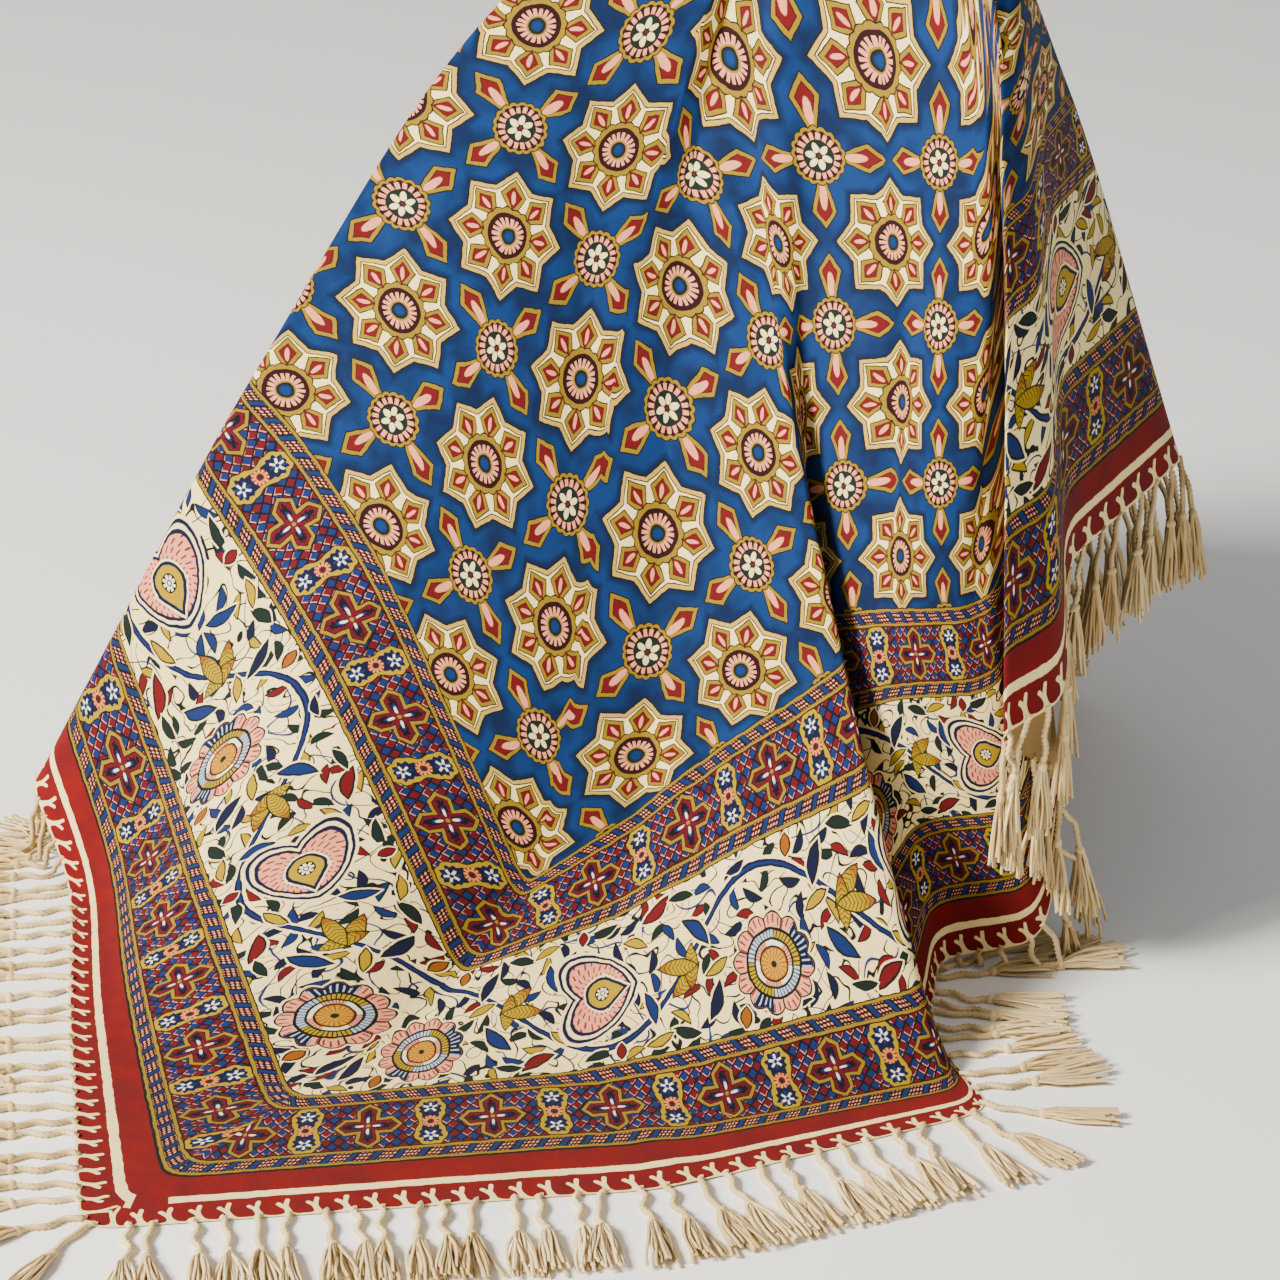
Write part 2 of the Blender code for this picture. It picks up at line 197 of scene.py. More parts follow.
def fold_lines():
    """Every fold line in order round the hem: the hem place, three cloth points and three places."""
    lines = []
    for row in FOLDS:
        fold = dict(zip(FOLD_COLUMNS, row))
        cloth_points, places = [], []
        for level, inset in (("top", TOP_INSET), ("middle", MIDDLE_INSET), ("hem", 0.0)):
            cloth_points.append(on_square(inset, fold[level + " at"]))
            places.append([fold[level + axis] for axis in (" x", " y", " z")])
        lines.append((fold["hem at"], cloth_points, places))
    for _, at, heading, lean_deg in PLAIN_FOLDS:
        edge = int(at // SIDE)
        cloth_points, places = [], []
        for inset in (TOP_INSET, MIDDLE_INSET, 0.0):
            shrink = (SIDE / 2 - inset) / (SIDE / 2)
            point = on_square(inset, edge * SIDE + SIDE / 2 + (at - edge * SIDE - SIDE / 2) * shrink)
            reach = 100 * math.hypot(point[0] - SIDE / 2, point[1] - SIDE / 2)
            cloth_points.append(point)
            places.append(plain_place(heading, lean_deg, reach))
        lines.append((at, cloth_points, places))
    return lines


def eased(stops, values, where):
    """A curve through the values that never overshoots them, level where it meets the floor."""
    stops = np.asarray(stops)
    width = np.diff(stops)
    rise = np.diff(values, axis=0) / width[:, None, None]
    slope = np.zeros_like(values)
    for k in range(1, len(stops) - 1):
        a, b = rise[k - 1], rise[k]
        slope[k] = np.where(a * b > 0, 2 * a * b / np.where(a + b == 0, 1, a + b), 0)
    fall, fall_above = rise[-1][:, 2], rise[-2][:, 2]
    on_floor = (values[-1][:, 2] < LYING_BELOW) & (fall < 0)
    slope[-2][:, 2] = np.where(on_floor, np.maximum(3 * fall, (fall + fall_above) / 2), slope[-2][:, 2])
    slope[0] = rise[0] * np.array([TOP_SPREAD, TOP_SPREAD, 0.0])
    slope[-1] = rise[-1]
    slope[-1][:, 2] = np.where(on_floor, 0.0, rise[-1][:, 2])
    out = []
    for t in where:
        k = int(np.clip(np.searchsorted(stops, t) - 1, 0, len(width) - 1))
        x = (t - stops[k]) / width[k]
        out.append(values[k] * (1 + 2 * x) * (1 - x) ** 2 + slope[k] * width[k] * x * (1 - x) ** 2
                   + values[k + 1] * x * x * (3 - 2 * x) + slope[k + 1] * width[k] * x * x * (x - 1))
    return np.array(out)


def rounded(values, reach):
    """The ring of values with its corners rounded over 'reach' places to each side."""
    reach = max(1, round(reach))
    weights = np.hanning(2 * reach + 3)[1:-1]
    weights /= weights.sum()
    return sum(weights[j] * np.roll(values, reach - j) for j in range(2 * reach + 1))


def drape(rows):
    """Places and cloth points of the sheet's rows from the top to the hem, and the place of its top."""
    lines = fold_lines()
    at = np.array([line[0] for line in lines] + [lines[0][0] + 4 * SIDE])
    flat = np.array([line[1] for line in lines] + [lines[0][1]])
    places = np.array([line[2] for line in lines] + [lines[0][2]], float)
    centre = np.full((len(at), 1, 2), SIDE / 2)
    top = np.tile(np.array([PEAK_X, PEAK_Y, PEAK_Z]), (len(at), 1, 1))
    flat = np.concatenate([centre, flat], axis=1).transpose(1, 0, 2)
    curves = eased(LINE_STOPS, np.concatenate([top, places], axis=1).transpose(1, 0, 2), rows)
    step = 4 * SIDE / AROUND
    fine = at[0] + step * np.arange(AROUND)
    right_end, left_start = FOLDS[-1][1], FOLDS[0][1] + 4 * SIDE
    plain = np.interp(fine, (right_end - PLAIN_BLEND, right_end + PLAIN_BLEND,
                             left_start - 2 * PLAIN_BLEND, left_start), (0, 1, 1, 0))
    panel = np.interp(fine, PANEL_REACH, (0, 1, 1, 0))
    shares = ((ROUNDING, 1 - plain - panel), (PLAIN_ROUNDING, plain), (PANEL_ROUNDING, panel))
    points = np.empty((len(rows), AROUND, 3))
    cloth_points = np.empty((len(rows), AROUND, 2))
    for r, t in enumerate(rows):
        for axis in range(3):
            straight = np.interp(fine, at, curves[r][:, axis])
            points[r, :, axis] = sum(rounded(straight, reach / step) * share for reach, share in shares)
        k = int(np.clip(np.searchsorted(LINE_STOPS, t) - 1, 0, len(LINE_STOPS) - 2))
        part = (t - LINE_STOPS[k]) / (LINE_STOPS[k + 1] - LINE_STOPS[k])
        for axis in range(2):
            cloth_points[r, :, axis] = np.interp(fine, at, flat[k][:, axis] * (1 - part)
                                                 + flat[k + 1][:, axis] * part)
    height = points[:, :, 2]
    height = height - SETTLE - PRESS * np.clip(1 - height / PRESS_BELOW, 0, 1)
    points[:, :, 2] = np.maximum(height, 0.0)
    shift = np.array([*FLOOR_SHIFT, THICK / 2])
    peak = np.array([PEAK_X, PEAK_Y, PEAK_Z - SETTLE]) / 100.0
    return points / 100.0 + shift, cloth_points, peak + shift


# Soft creases in the hanging cloth, in centimetres from the front-left corner of the flat square. A plus
# depth is a trough and a minus depth a ridge; each fades out towards its two ends. Where the cloth lies
# on the floor a crease keeps a third of its depth, and it has all of it from 2.5 cm up.
CREASE_END = 0.08
CREASE_ON_FLOOR, CREASE_RISE = 0.35, 40.0
CREASES = (
    # name, from u, from v, to u, to v, half width, depth
    ("beside the front ridge", 66, 62, 60, 44, 1.3, 0.55),
    ("ridge next to it", 69, 62, 64, 44, 1.4, -0.35),
    ("through the middle stars", 75, 50, 70, 27, 1.5, 0.60),
    ("middle swell", 79, 52, 76, 28, 1.9, -0.40),
    ("lower right trough", 84, 44, 80, 20, 1.4, 0.50),
    ("under the second ridge", 90, 60, 92, 34, 1.3, 0.50),
    ("front panel, upper", 55, 62, 42, 44, 1.8, 0.28),
    ("front panel, right", 52, 40, 47, 24, 1.7, 0.30),
    ("front panel, low", 41, 30, 36, 15, 1.5, 0.32),
    ("pucker at the hem", 31, 9, 33, -1, 1.4, -0.45),
    ("left panel, upper", 44, 66, 27, 58, 1.8, 0.30),
    ("left panel, lower", 36, 47, 20, 40, 1.7, 0.26),
    ("left border", 24, 33, 9, 30, 1.5, 0.22),
    ("right face, upper", 100, 66, 116, 48, 1.6, 0.45),
    ("right face, lower", 104, 50, 122, 30, 1.5, 0.40),
)


def sheet_normals(points, top):
    """The outward direction at each point of the sheet."""
    around = np.roll(points, -1, axis=1) - np.roll(points, 1, axis=1)
    inner = np.concatenate([np.broadcast_to(top, points[:1].shape), points[:-1]])
    outer = np.concatenate([points[1:], points[-1:]])
    normals = np.cross(outer - inner, around)
    return normals / np.maximum(np.linalg.norm(normals, axis=2)[:, :, None], 1e-9)


def crease_depth(spots):
    """How far the creases press the cloth in, in metres, at each of its flat places."""
    total = np.zeros(spots.shape[:2])
    for _, u0, v0, u1, v1, half_width, most in CREASES:
        start, run = np.array([u0, v0]) / 100, np.array([u1 - u0, v1 - v0]) / 100
        along = np.clip((spots - start) @ run / (run @ run), 0, 1)
        away = np.linalg.norm(spots - start - along[:, :, None] * run, axis=2) * 100 / half_width
        fade = np.sin(math.pi * (CREASE_END + (1 - 2 * CREASE_END) * along))
        total += most / 100 * np.exp(-away * away) * fade
    return total


sheet_points, print_points, sheet_top = drape(np.linspace(FIRST_ROW, 1.0, ROW_COUNT))
pressed = crease_depth(print_points)[:, :, None] * sheet_normals(sheet_points, sheet_top)
above_floor = np.clip(sheet_points[:, :, 2:] * CREASE_RISE, CREASE_ON_FLOOR, 1)
sheet_points = sheet_points - pressed * above_floor
sheet_points[:, :, 2] = np.maximum(sheet_points[:, :, 2], THICK / 2)

cloth_mesh = bpy.data.meshes.new("cloth sheet")
corners, faces, spots = [tuple(sheet_top)], [], [(SIDE / 2, SIDE / 2)]
corners += [tuple(p) for p in sheet_points.reshape(-1, 3)]
spots += [tuple(p) for p in print_points.reshape(-1, 2)]
for i in range(AROUND):
    j = (i + 1) % AROUND
    faces.append((0, 1 + i, 1 + j))
    for r in range(ROW_COUNT - 1):
        a, b = 1 + r * AROUND, 1 + (r + 1) * AROUND
        faces.append((a + i, b + i, b + j, a + j))
cloth_mesh.from_pydata(corners, [], faces)
print_map = cloth_mesh.uv_layers.new(name="print")
for loop in cloth_mesh.loops:
    print_map.data[loop.index].uv = spots[loop.vertex_index]
for polygon in cloth_mesh.polygons:
    polygon.use_smooth = True
cloth = placed("cloth_sheet", cloth_mesh)


# The print.
# Each motif is stamped by hand from carved blocks in black, red, blue and yellow, so its lines waver a
# little and its colours don't quite meet. The ground is cream cotton; the reverse is plain.


def paint(hex_colour):
    """A colour as it is read off a dye card, turned into the shader's own scale."""
    parts = [int(hex_colour[k:k + 2], 16) / 255 for k in (0, 2, 4)]
    return tuple(c / 12.92 if c <= 0.04045 else ((c + 0.055) / 1.055) ** 2.4 for c in parts) + (1.0,)


CREAM = paint("FBE3A0")
PALE = paint("F2E4C4")
GOLD = paint("8C7016")
PALE_GOLD = paint("BE9C48")
LINE = paint("131511")
RED = paint("640F14")
EDGE_RED = paint("760E0C")
MAROON = paint("260A0E")
CRIMSON = paint("5A0E1A")
PEACH = paint("D0844A")
PINK = paint("E29474")
ROSE_RED = paint("821C20")
BLUE = paint("0C3064")
DARK_BLUE = paint("081C40")
NAVY = paint("0F1330")
MID_BLUE = paint("14265A")
PALE_BLUE = paint("A9B4C4")
MUSTARD = paint("A48604")
OCHRE = paint("8C4C0C")
DEEP_GREEN = paint("13211D")
NET = paint("120A16")
SPOKE_GOLD = paint("C08A18")
REVERSE = paint("A5854F")

print_paint = bpy.data.materials.new("printed cotton")
print_paint.use_nodes = True
ink = print_paint.node_tree
ink.nodes.clear()


def add_node(tree, kind, **settings):
    """A new node in the tree, with its settings."""
    node = tree.nodes.new(kind)
    for key, value in settings.items():
        setattr(node, key, value)
    return node


class Value:
    """A number that differs over the cloth; sums with it are added to the shader as Math nodes."""

    def __init__(self, socket):
        self.socket = socket

    def __add__(self, other):
        return work("ADD", self, other)

    def __sub__(self, other):
        return work("SUBTRACT", self, other)

    def __rsub__(self, other):
        return work("SUBTRACT", other, self)

    def __mul__(self, other):
        return work("MULTIPLY", self, other)

    def __rmul__(self, other):
        return work("MULTIPLY", self, other)

    def __truediv__(self, other):
        return work("DIVIDE", self, other)

    def __abs__(self):
        return work("ABSOLUTE", self)


def join(value, socket):
    if isinstance(value, Value):
        ink.links.new(value.socket, socket)
    else:
        socket.default_value = value


def work(kind, *numbers, clamp=False):
    node = add_node(ink, "ShaderNodeMath", operation=kind, use_clamp=clamp)
    for number, socket in zip(numbers, node.inputs):
        join(number, socket)
    return Value(node.outputs[0])


def low(a, b):
    return work("MINIMUM", a, b)


def high(a, b):
    return work("MAXIMUM", a, b)


def size(x, y):
    return work("SQRT", work("MULTIPLY_ADD", x, x, y * y))


def slant(x, y, a, b, c):
    """a x + b y + c"""
    return work("MULTIPLY_ADD", x, a, work("MULTIPLY_ADD", y, b, c))


def inside(distance, at=0.0, soft=0.03):
    """1 where the distance is below 'at', 0 above, with an edge as soft as ink on cotton."""
    return work("MULTIPLY_ADD", distance, -1.0 / soft, at / soft + 0.5, clamp=True)


def colour_socket(sockets, name):
    """The colour socket of that name, on a node that has other kinds of the same name."""
    return [s for s in sockets if s.name == name and s.type == "RGBA"][0]


def lay(below, colour, mask):
    """The colour printed over what is below, where the mask is 1."""
    node = add_node(ink, "ShaderNodeMix", data_type="RGBA")
    join(mask, node.inputs["Factor"])
    for value, name in ((below, "A"), (colour, "B")):
        socket = colour_socket(node.inputs, name)
        if isinstance(value, tuple):
            socket.default_value = value
        else:
            ink.links.new(value, socket)
    return colour_socket(node.outputs, "Result")


def lay_all(below, distance, prints):
    """Colours printed one over another round one shape, each with its offset and maybe softness."""
    for colour, at, *soft in prints:
        below = lay(below, colour, inside(distance, at, *soft))
    return below


def kite(x, y, inner, inner_half, wide, wide_half, tip):
    """How far a point is outside a kite that points along x; y is folded, so never below 0."""
    a, b = wide - inner, wide_half - inner_half
    length = math.hypot(a, b)
    na, nb = -b / length, a / length
    lower = slant(x, y, na, nb, -na * wide - nb * wide_half)
    a, b = tip - wide, wide_half
    length = math.hypot(a, b)
    return high(lower, slant(x, y, b / length, a / length, -b / length * tip))


def oval(x, y, centre, half_long, half_wide):
    """About how far a point is outside an oval that lies along x."""
    rest = size((x - centre) / half_long, y / half_wide)
    return work("MULTIPLY_ADD", rest, half_wide, -half_wide)


def turned(x, y, at_x, at_y, degrees, scale_x=1.0, scale_y=1.0):
    """Places measured from a motif's own middle and along its own length."""
    together = add_node(ink, "ShaderNodeCombineXYZ")
    join(x, together.inputs[0])
    join(y, together.inputs[1])
    shift = add_node(ink, "ShaderNodeMapping", vector_type="TEXTURE")
    shift.inputs["Location"].default_value = (at_x, at_y, 0)
    shift.inputs["Rotation"].default_value = (0, 0, math.radians(degrees))
    shift.inputs["Scale"].default_value = (scale_x, scale_y, 1)
    ink.links.new(together.outputs[0], shift.inputs["Vector"])
    apart = add_node(ink, "ShaderNodeSeparateXYZ")
    ink.links.new(shift.outputs[0], apart.inputs[0])
    return Value(apart.outputs[0]), Value(apart.outputs[1])


def repeat(value, pitch, first=0.0):
    """How far a point is from the nearest of the places first, first + pitch and so on."""
    shifted = work("MULTIPLY_ADD", value, 1.0 / pitch, 0.5 - first / pitch)
    return (work("FRACT", shifted) - 0.5) * pitch


def polar(x, y):
    """The turn round a motif's middle, in radians, and the distance from it."""
    return work("ARCTAN2", y, x), size(x, y)


def scalloped(turn, reach, lobes, height):
    """The distance from the middle, less at each of the lobes, so that an outline bulges there."""
    return work("MULTIPLY_ADD", abs(work("SINE", turn * lobes)), -height, reach)


def petal_ring(turn, reach, half_turn, half_wide, middle, half_long):
    """How far a point is outside a ring of straight petals."""
    return high(work("PINGPONG", turn, half_turn) * reach - half_wide, abs(reach - middle) - half_long)


def cell(value):
    """How far a value is from the middle of its whole-number cell, from 0 to 0.5."""
    return abs(work("FRACT", value) - 0.5)


def noise(scale, detail):
    node = add_node(ink, "ShaderNodeTexNoise")
    node.inputs["Scale"].default_value = scale
    node.inputs["Detail"].default_value = detail
    ink.links.new(in_cm.outputs[0], node.inputs["Vector"])
    return node


def cloud(scale, detail):
    """A soft random value over the flat cloth, from 0 to 1."""
    return Value(noise(scale, detail).outputs["Fac"])


print_uv = add_node(ink, "ShaderNodeUVMap", uv_map="print")
in_cm = add_node(ink, "ShaderNodeVectorMath", operation="SCALE")
in_cm.inputs["Scale"].default_value = 100.0
ink.links.new(print_uv.outputs[0], in_cm.inputs[0])

# The blocks waver by about half a millimetre, and by a whole one at the most.
WAVER = 0.20
waver = add_node(ink, "ShaderNodeVectorMath", operation="MULTIPLY_ADD")
ink.links.new(noise(1.3, 3.0).outputs["Color"], waver.inputs[0])
waver.inputs[1].default_value = (WAVER, WAVER, 0.0)
ink.links.new(in_cm.outputs[0], waver.inputs[2])
apart = add_node(ink, "ShaderNodeSeparateXYZ")
ink.links.new(waver.outputs[0], apart.inputs[0])
u = Value(apart.outputs[0]) - WAVER / 2
v = Value(apart.outputs[1]) - WAVER / 2

# Sizes of the print in centimetres, from the woven edge inwards.
EDGE_BAND = 4.3
OUTER_BAND = 10.9
FLOWER_BAND = 20.4
INNER_BAND = 27.0
WHOLE = 100 * SIDE
FLOWER_MIDDLE = (OUTER_BAND + FLOWER_BAND) / 2

from_side = low(u, WHOLE - u)
from_end = low(v, WHOLE - v)
depth = low(from_side, from_end)
is_end = work("LESS_THAN", from_end, from_side)
along = work("MULTIPLY_ADD", is_end, u - v, v)

# The field: rows of eight-pointed stars, with a rosette and its four buds between them. A star's edges
# face the way that its slope gives.
STAR_PITCH_U, STAR_PITCH_V = 9.0, 9.7
STAR_FIRST_U, STAR_FIRST_V = 28.2, 30.5
STAR = 3.85
STAR_SLOPE_X, STAR_SLOPE_Y = 0.730, 0.683


def star_field():
    x = repeat(u, STAR_PITCH_U, STAR_FIRST_U)
    y = repeat(v, STAR_PITCH_V, STAR_FIRST_V)
    turn, reach = polar(x, y)
    turn_tip = work("PINGPONG", turn, math.pi / 8)
    along_tip = reach * work("COSINE", turn_tip)
    off_tip = reach * work("SINE", turn_tip)
    edge = slant(along_tip, off_tip, STAR_SLOPE_X, STAR_SLOPE_Y, -STAR_SLOPE_X * STAR)
    colour = lay(BLUE, DARK_BLUE, inside(cloud(0.35, 2.0), 0.47, 0.22))

    # Rosettes at the middles of the squares between four stars.
    rx = repeat(u, STAR_PITCH_U, STAR_FIRST_U + STAR_PITCH_U / 2)
    ry = repeat(v, STAR_PITCH_V, STAR_FIRST_V + STAR_PITCH_V / 2)
    rx_off, ry_off = abs(rx), abs(ry)
    bud_x, bud_y = high(rx_off, ry_off), low(rx_off, ry_off)
    bud = kite(bud_x, bud_y, 1.5, 0.28, 3.15, 0.84, 4.2)
    colour = lay_all(colour, bud, ((LINE, 0.05), (GOLD, -0.03), (MAROON, -0.25), (RED, -0.30)))
    colour = lay(colour, PINK, inside(oval(bud_x, bud_y, 2.35, 0.72, 0.24)))
    rturn, rreach = polar(rx, ry)
    scallop = scalloped(rturn, rreach, 9, 0.13)
    colour = lay_all(colour, scallop, ((LINE, 1.60), (GOLD, 1.53), (MAROON, 1.34)))
    colour = lay(colour, PINK, inside(petal_ring(rturn, rreach, math.pi / 18, 0.125, 1.13, 0.19)))
    colour = lay(colour, DEEP_GREEN, inside(rreach, 0.90))
    blob = work("PINGPONG", rturn + 0.3, math.pi / 6) * rreach
    colour = lay(colour, CREAM, inside(size(blob, (rreach - 0.50) * 0.66), 0.19))
    colour = lay(colour, RED, inside(rreach, 0.10))

    # Stars.
    colour = lay_all(colour, edge, ((DARK_BLUE, 0.32, 0.3), (LINE, 0.09), (PALE_GOLD, 0.0),
                                    (LINE, -0.22), (CREAM, -0.29)))
    petal = kite(along_tip, off_tip, 0.43 * STAR, 0.08 * STAR, 0.63 * STAR, 0.205 * STAR, 0.86 * STAR)
    colour = lay_all(colour, petal, ((LINE, 0.05), (GOLD, -0.02), (MAROON, -0.22), (RED, -0.26)))
    colour = lay(colour, PINK, inside(oval(along_tip, off_tip, 0.59 * STAR, 0.40, 0.13)))
    colour = lay_all(colour, scalloped(turn, reach, 8, 0.12), ((LINE, 1.62), (GOLD, 1.54)))
    colour = lay(colour, MAROON, inside(reach, 1.34))
    colour = lay(colour, PINK, inside(petal_ring(turn, reach, math.pi / 18, 0.10, 0.82, 0.25)))
    return lay_all(colour, reach, ((GOLD, 0.60), (LINE, 0.50), (BLUE, 0.32, 0.2)))


# The two small bands: a net of red and blue lozenges under crosses and gourds, between guard stripes.
SMALL_PITCH = 7.2
OUTER_FIRST_END, OUTER_FIRST_SIDE, INNER_FIRST = 15.5, 18.6, 30.9
OUTER_MIDDLE, INNER_MIDDLE = 7.6, 23.7
NET_LONG, NET_WIDE = 0.73, 0.80
CROSS = 1.98
ARM_SIDE_X, ARM_SIDE_Y = 0.081, 0.997
ARM_TIP_X, ARM_TIP_Y = 0.768, 0.640
GUARD_START, GUARD_MIDDLE = 1.99, 2.65


def small_band():
    is_outer = work("LESS_THAN", depth, 15.0)
    outer_first = work("MULTIPLY_ADD", is_end, OUTER_FIRST_END - OUTER_FIRST_SIDE,
                       OUTER_FIRST_SIDE - INNER_FIRST)
    first = work("MULTIPLY_ADD", is_outer, outer_first, INNER_FIRST)
    across = depth - work("MULTIPLY_ADD", is_outer, OUTER_MIDDLE - INNER_MIDDLE, INNER_MIDDLE)
    x = repeat(along - first, SMALL_PITCH)
    off = abs(across)

    # Net of lozenges, with slivers of pink between them. The 1000 keeps the count of cells above 0.
    p = slant(along, across, 1 / NET_LONG, 1 / NET_WIDE, 0.0)
    q = slant(along, across, 1 / NET_LONG, -1 / NET_WIDE, 0.0)
    lozenge = high(cell(p), cell(q))
    odd = work("MODULO", work("FLOOR", p) + work("FLOOR", q) + 1000.0, 2.0)
    sliver = high(cell(p + 0.12), cell(q - 0.06))
    colour = lay(NET, PINK, inside(high(sliver - 0.37, 0.50 - cloud(0.9, 1.0)), 0.0, 0.06))
    colour = lay(colour, lay(MID_BLUE, CRIMSON, odd), inside(lozenge, 0.385, 0.07))

    # Crosses, each arm with a flaring side and a pointed tip.
    x_off = abs(x)
    cx, cy = high(x_off, off), low(x_off, off)
    arm_side = slant(cx, cy, -ARM_SIDE_X, ARM_SIDE_Y,
                     ARM_SIDE_X * 0.70 * CROSS - ARM_SIDE_Y * 0.36 * CROSS)
    arm_tip = slant(cx, cy, ARM_TIP_X, ARM_TIP_Y, -ARM_TIP_X * CROSS)
    cross = high(arm_side, arm_tip)
    colour = lay_all(colour, cross, ((LINE, 0.06), (GOLD, -0.01), (MAROON, -0.20), (CRIMSON, -0.26)))
    leaf = oval(cx, cy, 0.86, 0.56, 0.24) + (cloud(7.0, 1.0) - 0.5) * 0.45
    colour = lay(colour, NET, inside(leaf))
    colour = lay(colour, MID_BLUE, inside(oval(cx, cy, 0.60, 0.34, 0.13)))
    colour = lay(colour, PALE, inside(oval(cx, cy - 0.03, 0.50, 0.22, 0.05)))
    colour = lay(colour, GOLD, inside(size(cx, cy), 0.13))

    # Gourds.
    gx = x_off - SMALL_PITCH / 2
    lobe = scalloped(work("ARCTAN2", gx, off - 1.1), size(gx, (off - 1.1) * 0.92) - 0.86, 3.5, 0.10)
    waist = high(abs(gx) - 0.66, off - 1.12)
    gourd = work("SMOOTH_MIN", lobe, waist, 0.5)
    colour = lay_all(colour, gourd, ((LINE, 0.05), (MUSTARD, -0.02)))
    jag = work("PINGPONG", work("ARCTAN2", gx, off - 1.12), 0.32) * 0.55
    colour = lay(colour, NAVY, inside(gourd + jag, -0.20))
    gturn, greach = polar(off - 1.2, gx)
    blue_petal = high(work("PINGPONG", gturn + 0.45, 0.45) * greach - 0.08, greach - 0.52)
    colour = lay(colour, MID_BLUE, inside(blue_petal))
    colour = lay(colour, PALE, inside(petal_ring(gturn, greach, 0.6, 0.07, 0.28, 0.15)))
    mturn, mreach = polar(across, gx)
    colour = lay(colour, RED, inside(mreach, 0.50))
    colour = lay(colour, PEACH, inside(petal_ring(mturn, mreach, math.pi / 11, 0.075, 0.36, 0.13)))
    colour = lay(colour, DEEP_GREEN, inside(mreach, 0.13))

    # Guard stripes.
    t = off - GUARD_MIDDLE
    t_off = abs(t)
    b = along + t * 0.7
    bar = abs(repeat(b, 1.33))
    dots = size(repeat(b, 0.235), repeat(t, 0.26, 0.13))
    guard = lay(MAROON, PINK, inside(dots, 0.072, 0.05))
    guard = lay_all(guard, bar, ((LINE, 0.27), (MID_BLUE, 0.15)))
    guard = lay(guard, LINE, inside(0.36 - t_off))
    guard = lay(guard, GOLD, inside(abs(t_off - 0.49), 0.085))
    return lay(colour, guard, inside(GUARD_START - off))


# The broad band: roses and hearts along a blue stem, with leaves and buds, on the cream ground.
FLOWER_PITCH = 24.0
ROSE_FIRST = 18.3
ROSE_SHIFT = -1.6
STEM_SWING = 3.7
SMALL_LEAF_HALF_LONG, SMALL_LEAF_HALF_WIDE = 0.68, 0.20
RIBBED_HALF_LONG, RIBBED_HALF_WIDE = 1.35, 0.48
RIBBED_LEAVES = ((6.2, 0.9, 35), (5.7, 0.2, 80), (6.6, 0.0, -10))  # along, across, turn deg
LEAVES = (
    # name, along, across, turn deg, half length, half width, bend, colour
    ("blue above rose", 4.4, 2.6, 60, 1.1, 0.34, 0.4, NAVY),
    ("blue by rose", 4.9, -1.7, -50, 1.2, 0.38, -0.4, MID_BLUE),
    ("mustard by rose", 3.9, 0.8, 20, 0.9, 0.28, 0.2, MUSTARD),
    ("green over stem", 6.8, 3.9, -20, 0.9, 0.30, 0.3, DEEP_GREEN),
    ("red low", 7.4, -3.8, 25, 1.1, 0.36, 0.5, RED),
    ("green low", 5.6, -4.0, -10, 0.8, 0.24, -0.4, DEEP_GREEN),
    ("mustard high", 8.6, 4.0, 15, 0.9, 0.26, 0.4, MUSTARD),
    ("blue near heart", 8.8, 1.9, 100, 1.0, 0.30, 0.4, MID_BLUE),
    ("mustard near heart", 9.2, -2.4, -30, 0.9, 0.28, -0.4, MUSTARD),
    ("ochre bud", 2.7, 4.0, 70, 0.6, 0.34, 0.0, OCHRE),
    ("navy small", 1.2, -4.0, 10, 0.7, 0.22, 0.5, NAVY),
    ("red bud", 11.2, 4.1, 80, 0.5, 0.28, 0.0, RED),
    ("green by heart", 11.4, -4.1, 5, 1.0, 0.26, 0.6, DEEP_GREEN),
)


def leaf_shape(x, y, at_x, at_y, turn, half_long, half_wide, bend):
    """Below 0 inside a bent leaf."""
    lx, ly = turned(x, y, at_x, at_y, turn, half_long, half_wide)
    square = lx * lx
    return abs(work("MULTIPLY_ADD", square, bend, ly) - bend * 0.4) + square - 1.0


